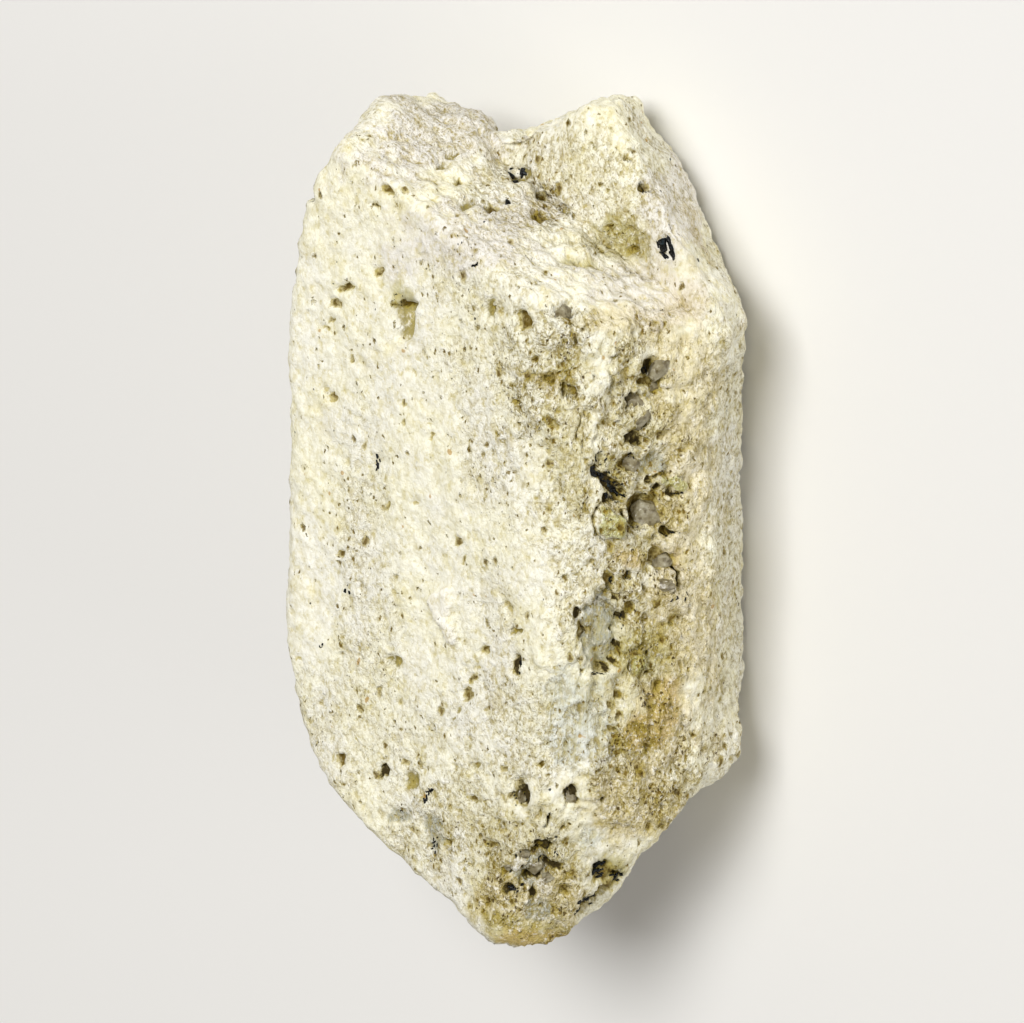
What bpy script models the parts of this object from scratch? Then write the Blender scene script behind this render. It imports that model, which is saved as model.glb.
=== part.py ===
"""Kaolinite specimen: a twinned feldspar crystal turned to kaolinite, lying on one broad face.

Two blocky crystals share their long axis (Y) and have grown together along a plane that lies
level inside the specimen. Each has its own sloping top, and the two tops slope opposite ways, so
the +Y end has a notch and a ledge between two points. The -Y end is broken to a rounded point.
The surface is worn, pitted and lumpy. The stone is one piece, so the model is one solid.

All sizes below are in millimetres. +Z is up, and the specimen rests on Z = 0.
"""
import math

import bmesh
import bpy
import numpy as np
from mathutils import Vector, noise

MM = 0.001
COLLECTION = "kaolinite_specimen"
CUTTERS = "kaolinite_cutters"

# Driving dimensions
THICKNESS = 19.0        # resting face to broad face
TWIN_HEIGHT = 9.5       # height of the plane that the two crystals share
TWIN_OVERLAP = 2.0      # how far the upper crystal is sunk into the lower one
EDGE_VOXEL = 0.42       # grid that rounds the crystal edges
EDGE_SMOOTHING = 4      # smoothing passes that wear the edges
SEAT_HALF_X = 6.0       # flat patch that the specimen rests on
SEAT_HALF_Y = 12.0
SEAT_PROUD = 0.35       # how far the patch stands below the rest of the back face
TRIANGLES = 7600        # of the finished solid

# Crystal faces: compass bearing of the face's normal from +X towards +Y, its rise above level,
# and how far the face lies from the origin along that normal.
BROKEN_END = {
    "break_side": (-41, -13, 20.1),
    "break_low_side": (-34, -18, 17.0),
    "break_under": (-51, -4, 24.6),
}
UPPER_CRYSTAL = {
    "twin_plane": (0, -90, TWIN_OVERLAP - TWIN_HEIGHT),
    "broad_face": (0, 90, THICKNESS),
    "right_face": (0, 22, 16.9),
    "right_under": (0, -21, 10.5),
    "front_edge": (0, 56, 20.5),
    "left_face": (180, 22, 17.5),
    "top_slope": (64, 0, 19.5),
    "top_end": (88, 0, 29.3),
    "left_bevel": (144, 8, 22.7),
    "left_shoulder": (164, 0, 14.7),
    "lower_left": (-160, 0, 15.2),
    "break_left": (-132, 0, 19.1),
    "break_low_left": (-114, 0, 22.3),
    "break_tip": (-85, 10, 31.3),
    "break_front": (-21, 36, 22.7),
}
LOWER_CRYSTAL = {
    "resting_face": (0, -90, -SEAT_PROUD),
    "twin_plane": (0, 90, TWIN_HEIGHT),
    "right_face": (0, -21, 10.5),
    "left_face": (180, -22, 9.9),
    "top_slope": (116, -6, 20.9),
    "right_bevel": (33, -28, 14.1),
    "break_left": (-132, -12, 16.6),
    "break_low_left": (-114, -12, 19.8),
}

# The show side is drawn as an eye in front of it sees it: mm across and mm up on a plane that
# passes through MIDDLE and faces the eye.
MIDDLE = np.array([-0.4, -1.3, 9.5])
EYE_TURN = math.radians(36)
EYE_RISE = math.radians(22)
EYE_DISTANCE = 365.0
TOWARDS_EYE = np.array([math.sin(EYE_TURN) * math.cos(EYE_RISE), math.sin(EYE_RISE),
                        math.cos(EYE_TURN) * math.cos(EYE_RISE)])
ACROSS = np.array([math.cos(EYE_TURN), 0.0, -math.sin(EYE_TURN)])
UPWARD = np.cross(TOWARDS_EYE, ACROSS)

# Relief on the show side: across, up, half width, half height, lean in degrees, height
# (negative where it is sunk).
SHOW_RELIEF = (
    # broad face
    (-7.0, 12.7, 1.1, 1.7, 10, -1.3),      # deep olive pit
    (-10.8, 14.3, 0.8, 0.5, 20, -0.7),     # slot pit
    (-11.5, 12.6, 0.7, 1.5, 0, -0.4),
    (-10.4, 9.9, 0.6, 0.6, 0, -0.5),
    (-5.3, 5.7, 0.7, 0.7, 0, -0.35),
    (-4.3, -6.8, 0.6, 1.8, 8, 0.45),       # pale flake
    (-3.0, -10.8, 0.35, 2.3, -18, -0.4),   # crack
    (-8.4, -16.7, 0.5, 0.5, 0, -0.4),
    (-5.5, -18.1, 0.4, 0.7, -20, -0.4),
    (3.1, 12.8, 0.8, 0.8, 0, -0.8),        # quartz hollow in the front edge
    (4.3, 9.3, 1.4, 1.3, 0, -0.5),
    (2.9, 8.0, 0.9, 1.1, 20, -0.5),
    # right face
    (9.2, 8.4, 0.8, 0.9, 0, -1.1),
    (8.0, 7.1, 0.7, 0.7, 0, -1.1),
    (8.1, 4.7, 0.6, 0.6, 0, -1.0),
    (6.2, 1.8, 1.7, 0.5, -38, -0.8),       # slanting crack
    (6.2, -0.6, 1.0, 1.2, 0, 0.5),         # olive lump
    (8.7, 0.0, 0.95, 0.95, 0, -1.0),
    (10.3, 1.1, 0.8, 0.4, 0, -0.8),
    (10.2, -3.6, 1.0, 1.5, 0, -1.0),       # brown hollow
    (5.4, -7.8, 1.6, 2.8, 0, -0.9),        # sunk window with grey floor
    (4.5, -13.5, 2.4, 2.9, 0, -0.4),       # striated field
    (2.8, -9.0, 1.3, 1.3, 0, 0.35),        # pale crust above it
    (8.4, -9.9, 0.7, 0.9, 0, 0.6),         # olive lumps
    (8.3, -10.7, 0.5, 0.3, 0, -0.6),
    (12.6, -11.6, 1.3, 2.0, 0, 0.3),
    # broken end
    (0.5, -18.2, 0.6, 0.9, 10, -1.0),
    (3.7, -18.2, 0.7, 0.7, 0, -0.5),
    (1.0, -22.9, 1.7, 1.6, 0, -0.9),       # cluster of dark hollows
    (5.6, -22.9, 0.7, 0.7, 0, -0.9),
    (5.6, -25.4, 1.6, 1.1, 30, -0.8),
    # notched end
    (0.3, 21.7, 0.7, 0.4, 0, -0.5),
    (-4.4, 22.1, 1.3, 0.4, 28, -0.4),
    (-1.7, 19.6, 0.8, 0.3, 0, -0.4),
    (4.2, 16.6, 1.6, 0.4, -14, 0.45),      # ledge along the foot of the notch
    (6.4, 17.3, 1.5, 1.1, 0, -0.6),
    (9.9, 16.9, 0.6, 0.8, 0, -0.6),
)

# Lumps and hollows of the whole form: X, Y, Z, reach and height.
LUMPS = (
    (14.4, 14.3, 6.0, 3.2, 1.2),           # lobe beside the notch
    (-13.5, -11.0, 17.5, 4.0, 0.9),        # swelling of the left side
    (-6.0, 26.6, 14.0, 2.6, 1.0),          # crown of the upper crystal
    (8.4, 21.3, 2.5, 2.8, 0.7),            # flank of the lower crystal
    (14.4, -15.8, 5.0, 2.0, 1.1),          # corner above the break, and the hollow below it
    (11.8, -19.6, 5.0, 1.8, -0.7),
    (-3.2, 25.3, 9.5, 1.8, 0.9),           # shoulder beside the notch
    (-0.8, 23.4, 9.5, 1.4, -1.1),          # the notch itself
    (4.2, 26.1, 7.0, 2.4, 0.4),
    (-13.0, 6.0, 13.0, 3.0, -0.3),
    (-10.5, -3.0, 2.0, 4.0, -0.5),         # hollows and swellings of the hidden sides
    (-12.5, 9.0, 6.0, 3.5, 0.6),
    (-9.0, 12.0, 3.0, 3.0, -0.8),
    (8.0, 4.0, -0.5, 5.0, -0.4),
    (-3.0, -17.0, 3.0, 4.0, -0.7),
    (4.0, -22.0, 6.0, 3.5, 0.6),
    (-8.0, -17.5, 8.0, 2.6, -0.6),
)

# Pits strewn over the sides away from the eye
HIDDEN_PITS = 26
HIDDEN_PIT_DEPTH = (0.4, 1.0)
HIDDEN_PIT_REACH = (0.7, 1.5)


def clear_objects():
    for thing in list(bpy.data.objects):
        bpy.data.objects.remove(thing, do_unlink=True)


def new_collection(name):
    group = bpy.data.collections.new(name)
    bpy.context.scene.collection.children.link(group)
    return group


def bearing(azimuth, rise):
    """Unit vector of a compass bearing and a rise, both in degrees."""
    a = math.radians(azimuth)
    e = math.radians(rise)
    return Vector((math.cos(a) * math.cos(e), math.sin(a) * math.cos(e), math.sin(e)))


def kaolinite():
    """Pale cream, chalky stone."""
    stone = bpy.data.materials.new("kaolinite")
    stone.use_nodes = True
    shader = stone.node_tree.nodes["Principled BSDF"]
    shader.inputs["Base Color"].default_value = (0.66, 0.58, 0.42, 1.0)
    shader.inputs["Roughness"].default_value = 0.85
    shader.inputs["Metallic"].default_value = 0.0
    return stone


def crystal(name, faces, group):
    """A block cut down by each crystal face in turn."""
    bm = bmesh.new()
    bmesh.ops.create_cube(bm, size=0.12)
    for azimuth, rise, reach in faces.values():
        normal = bearing(azimuth, rise)
        whole = bm.verts[:] + bm.edges[:] + bm.faces[:]
        cut = bmesh.ops.bisect_plane(bm, geom=whole, dist=1e-7, plane_co=normal * reach * MM,
                                     plane_no=normal, clear_outer=True)
        rim = [part for part in cut["geom_cut"] if isinstance(part, bmesh.types.BMEdge)]
        bmesh.ops.edgenet_fill(bm, edges=rim)
    bmesh.ops.recalc_face_normals(bm, faces=bm.faces[:])
    mesh = bpy.data.meshes.new(name)
    bm.to_mesh(mesh)
    bm.free()
    thing = bpy.data.objects.new(name, mesh)
    group.objects.link(thing)
    return thing


def evaluated_mesh(thing):
    """The object's mesh with its modifiers applied."""
    graph = bpy.context.evaluated_depsgraph_get()
    return bpy.data.meshes.new_from_object(thing.evaluated_get(graph), depsgraph=graph)


def worn_twin(group, cutters):
    """Both crystals in one body, with their edges rounded by wear."""
    twin = crystal("twin", {**UPPER_CRYSTAL, **BROKEN_END}, cutters)
    lower = crystal("lower_crystal", {**LOWER_CRYSTAL, **BROKEN_END}, cutters)
    for thing in (twin, lower):
        thing.hide_render = True
        thing.display_type = "WIRE"
    union = twin.modifiers.new("grown_together", "BOOLEAN")
    union.operation = "UNION"
    union.object = lower
    grid = twin.modifiers.new("even_grid", "REMESH")
    grid.mode = "VOXEL"
    grid.voxel_size = EDGE_VOXEL * MM
    wear = twin.modifiers.new("worn_edges", "SMOOTH")
    wear.factor = 0.5
    wear.iterations = EDGE_SMOOTHING
    return evaluated_mesh(twin)


def read_points(mesh):
    """Vertex places in mm and their outward normals."""
    places = np.empty(len(mesh.vertices) * 3)
    mesh.vertices.foreach_get("co", places)
    normals = np.empty(len(mesh.vertices) * 3)
    mesh.vertex_normals.foreach_get("vector", normals)
    return places.reshape(-1, 3) / MM, normals.reshape(-1, 3)


def eased(x):
    """0 below 0, 1 above 1, smooth between."""
    x = np.clip(x, 0.0, 1.0)
    return x * x * (3.0 - 2.0 * x)


def on_drawing(points):
    """Across and up of each point on the drawing of the show side."""
    offset = points - MIDDLE
    shrink = EYE_DISTANCE / (EYE_DISTANCE - offset @ TOWARDS_EYE)
    return offset @ ACROSS * shrink, offset @ UPWARD * shrink


def show_side(points, normals):
    """Height of the named relief, faded out where the surface turns from the eye."""
    across, up = on_drawing(points)
    height = np.zeros(len(points))
    for a, b, half_width, half_height, lean, level in SHOW_RELIEF:
        turn = math.radians(lean)
        u = (across - a) * math.cos(turn) - (up - b) * math.sin(turn)
        v = (across - a) * math.sin(turn) + (up - b) * math.cos(turn)
        away = np.hypot(u / half_width, v / half_height)
        height += level * (1.0 - eased((away - 0.35) / 0.75))
    return height * eased(normals @ TOWARDS_EYE / 0.25)


def lumps(points):
    """Broad swellings and hollows of the form."""
    height = np.zeros(len(points))
    for x, y, z, reach, level in LUMPS:
        away = np.linalg.norm(points - np.array([x, y, z]), axis=1) / reach
        height += level * np.exp(-away * away)
    return height


def hidden_pits(points, normals):
    """Round pits on the sides that face away from the eye, at seeded places."""
    dice = np.random.default_rng(11)
    away_side = np.flatnonzero(normals @ TOWARDS_EYE < -0.15)
    height = np.zeros(len(points))
    for centre in points[dice.choice(away_side, HIDDEN_PITS, replace=False)]:
        reach = dice.uniform(*HIDDEN_PIT_REACH)
        depth = dice.uniform(*HIDDEN_PIT_DEPTH)
        stretch = np.array([1.0, dice.uniform(0.5, 1.0), 1.0])
        away = np.linalg.norm((points - centre) * stretch, axis=1) / reach
        height -= depth * (1.0 - eased((away - 0.3) / 0.7))
    return height


def rough(points):
    """Uneven, broken surface: long waves and short ones, drawn out along the crystals."""
    height = np.empty(len(points))
    for i, (x, y, z) in enumerate(points):
        wave = noise.fractal(Vector((x, y * 0.7, z)) * 0.22, 1.0, 2.0, 3)
        grain = noise.noise(Vector((x, y * 0.5, z)) * 0.9 + Vector((7.0, 3.0, 1.0)))
        height[i] = 0.28 * wave + 0.16 * grain
    return height


def seat(points, normals):
    """Flat patch below the back face, oval, on which the specimen rests."""
    away = np.hypot(points[:, 0] / SEAT_HALF_X, points[:, 1] / SEAT_HALF_Y)
    return (1.0 - eased((away - 0.9) / 0.5)) * eased((-normals[:, 2] - 0.8) / 0.15)


def finish_surface(mesh):
    """Move every vertex along its normal by the relief, and level the seat."""
    points, normals = read_points(mesh)
    patch = seat(points, normals)
    height = show_side(points, normals) + lumps(points) + hidden_pits(points, normals)
    height = (height + rough(points)) * (1.0 - patch) + SEAT_PROUD * patch
    points = points + normals * height[:, None]
    points[:, 2] = np.maximum(points[:, 2], 0.0)
    mesh.vertices.foreach_set("co", (points * MM).ravel())
    mesh.update()


def specimen(group, cutters):
    """The finished stone: worn twin, relief, then fewer and larger facets."""
    mesh = worn_twin(group, cutters)
    finish_surface(mesh)
    mesh.name = "kaolinite_crystal"
    mesh.materials.clear()
    mesh.materials.append(kaolinite())
    stone = bpy.data.objects.new("kaolinite_crystal", mesh)
    group.objects.link(stone)
    facets = stone.modifiers.new("larger_facets", "DECIMATE")
    facets.ratio = TRIANGLES / sum(len(face.vertices) - 2 for face in mesh.polygons)
    mesh.shade_smooth()
    return stone


clear_objects()
specimen(new_collection(COLLECTION), new_collection(CUTTERS))
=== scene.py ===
"""Looks of the kaolinite specimen: a pitted cream twin crystal with quartz and tourmaline."""

import math

import bpy
import numpy as np
from mathutils import Matrix, Vector


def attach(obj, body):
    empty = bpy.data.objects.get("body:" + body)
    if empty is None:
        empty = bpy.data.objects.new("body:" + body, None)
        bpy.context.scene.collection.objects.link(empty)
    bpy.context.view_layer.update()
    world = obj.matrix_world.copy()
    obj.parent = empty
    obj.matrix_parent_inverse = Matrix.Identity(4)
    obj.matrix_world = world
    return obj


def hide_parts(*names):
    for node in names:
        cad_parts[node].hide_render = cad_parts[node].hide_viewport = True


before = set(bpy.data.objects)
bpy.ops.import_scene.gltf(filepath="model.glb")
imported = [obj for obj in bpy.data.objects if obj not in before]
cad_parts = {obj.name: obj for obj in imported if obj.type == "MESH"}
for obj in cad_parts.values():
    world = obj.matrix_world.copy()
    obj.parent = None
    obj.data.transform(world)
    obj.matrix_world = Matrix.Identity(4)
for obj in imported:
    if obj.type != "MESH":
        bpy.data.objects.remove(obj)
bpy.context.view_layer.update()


# -------------------------------- the stone: two crystals
# A feldspar twin that turned to kaolinite, a chalky cream clay, and kept its shape: a broad upper
# crystal grown on a lower one that sticks out behind it. Its edges are worn round, and grains that
# weathered out of it left pits, pores and rusty stains.
MM = 0.001
THICKNESS = 19.0  # mm, resting face to broad face
TWIN_HEIGHT = 9.5  # mm, height of the plane that the two crystals share
TWIN_OVERLAP = 2.0  # mm, how far the upper crystal is sunk into the lower one
EDGE_WEAR = 0.36  # mm, softness of the crystal edges
OVERLAP_INSET = 0.12  # mm, how far the lower crystal stays inside the upper one there
SEAT = (6.0, 12.0, 0.35)  # mm, half width, half length and drop of the flat it rests on
EVENING_PASSES = 45

# Crystal faces: bearing of the face's normal from +X towards +Y and its rise above level, in
# degrees, and how far the face lies from the origin along that normal, in mm.
BROKEN_END = ((-41, -13, 20.1), (-34, -18, 17.0), (-51, -4, 24.6))
UPPER_CRYSTAL = BROKEN_END + (
    (0, -90, TWIN_OVERLAP - TWIN_HEIGHT),
    (0, 90, THICKNESS),
    (0, 22, 16.9),
    (0, -21, 10.5),
    (0, 56, 20.5),
    (180, 22, 17.5),
    (64, 0, 19.5),
    (88, 0, 29.3),
    (144, 8, 22.7),
    (164, 0, 14.7),
    (-160, 0, 15.2),
    (-132, 0, 19.1),
    (-114, 0, 22.3),
    (-85, 10, 31.3),
    (-21, 36, 22.7),
)
LOWER_CRYSTAL = BROKEN_END + (
    (0, -90, -SEAT[2]),
    (0, 90, TWIN_HEIGHT),
    (0, -21, 10.5),
    (180, -22, 9.9),
    (116, -6, 20.9),
    (33, -28, 14.1),
    (45, 31, 24.1),
    (-132, -12, 16.6),
    (-114, -12, 19.8),
)
UPPER_GRID = (132, 229, 51)  # cells of each crystal's surface grid along X, Y and Z
LOWER_GRID = (124, 258, 45)
UPPER_CENTRE = (0.0, 0.0, 13.2)  # mm
LOWER_CENTRE = (0.0, 0.0, 4.9)
UPPER_SEED, LOWER_SEED = 11, 12

# The show side is drawn as an eye in front of it sees it: mm across and mm up on a plane that
# passes through MIDDLE and faces the eye.
MIDDLE = np.array([-0.4, -1.3, 9.5])
EYE_TURN = math.radians(36)
EYE_RISE = math.radians(22)
EYE_DISTANCE = 365.0  # mm
TOWARDS_EYE = np.array([math.sin(EYE_TURN) * math.cos(EYE_RISE), math.sin(EYE_RISE),
                        math.cos(EYE_TURN) * math.cos(EYE_RISE)])
ACROSS = np.array([math.cos(EYE_TURN), 0.0, -math.sin(EYE_TURN)])
UPWARD = np.cross(TOWARDS_EYE, ACROSS)

# Swellings and hollows of the form: X, Y, Z, reach and height, in mm.
LUMPS = (
    (14.4, 14.3, 6, 3.2, 1.2), (-13.9, -11, 15.6, 4, 0.9), (-6, 26.6, 14, 2.6, 1),
    (-7.5, 26.4, 13, 2.2, 0.9), (8.4, 21.3, 2.5, 2.8, 0.7), (3.9, 24.3, 0.5, 2.2, -0.6),
    (14.4, -15.8, 5, 2.2, 1.5), (14, -17.4, 6.6, 1.9, 1.1), (11.8, -20.2, 5, 1.6, -0.5),
    (10.5, -21.7, 10.4, 1.2, -0.7), (8.5, -25.5, 12, 2.2, 0.3), (9.6, -22.8, 8.4, 1.6, -0.6),
    (4, -27, 17.5, 2, 0.6), (-8.3, -19.4, 16.8, 2.8, 0.8), (-2.4, 25.4, 9.5, 1.6, 1.2),
    (-3.2, 23.8, 10.2, 2, 1), (-0.8, 23.4, 9.5, 1.4, -1.1), (1.4, 25.6, 9, 1.8, -0.6),
    (2.5, 26.5, 9, 2.6, -0.3), (-3.4, 24.2, 8, 1.4, 0.7), (-0.5, 24.6, 6.5, 1.8, -0.4),
    (4, 26, 4.5, 1.8, 0.4), (4.8, 25.6, 2, 1.2, 0.8), (-8.7, 21.2, 18.4, 1.3, 0.3),
    (-13, -7.5, 16.5, 3.5, 0.4), (-5.5, -21.5, 17.5, 2.5, 0.45), (-13, 6, 13, 3, -0.3),
    (-10.5, -3, 2, 4, -0.5), (-12.5, 9, 6, 3.5, 0.6), (-9, 12, 3, 3, -0.8), (8, 4, -0.5, 5, -0.4),
    (-3, -17, 3, 4, -0.7), (4, -22, 6, 3.5, 0.6), (-8, -17.5, 8, 2.6, -0.6),
)

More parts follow.
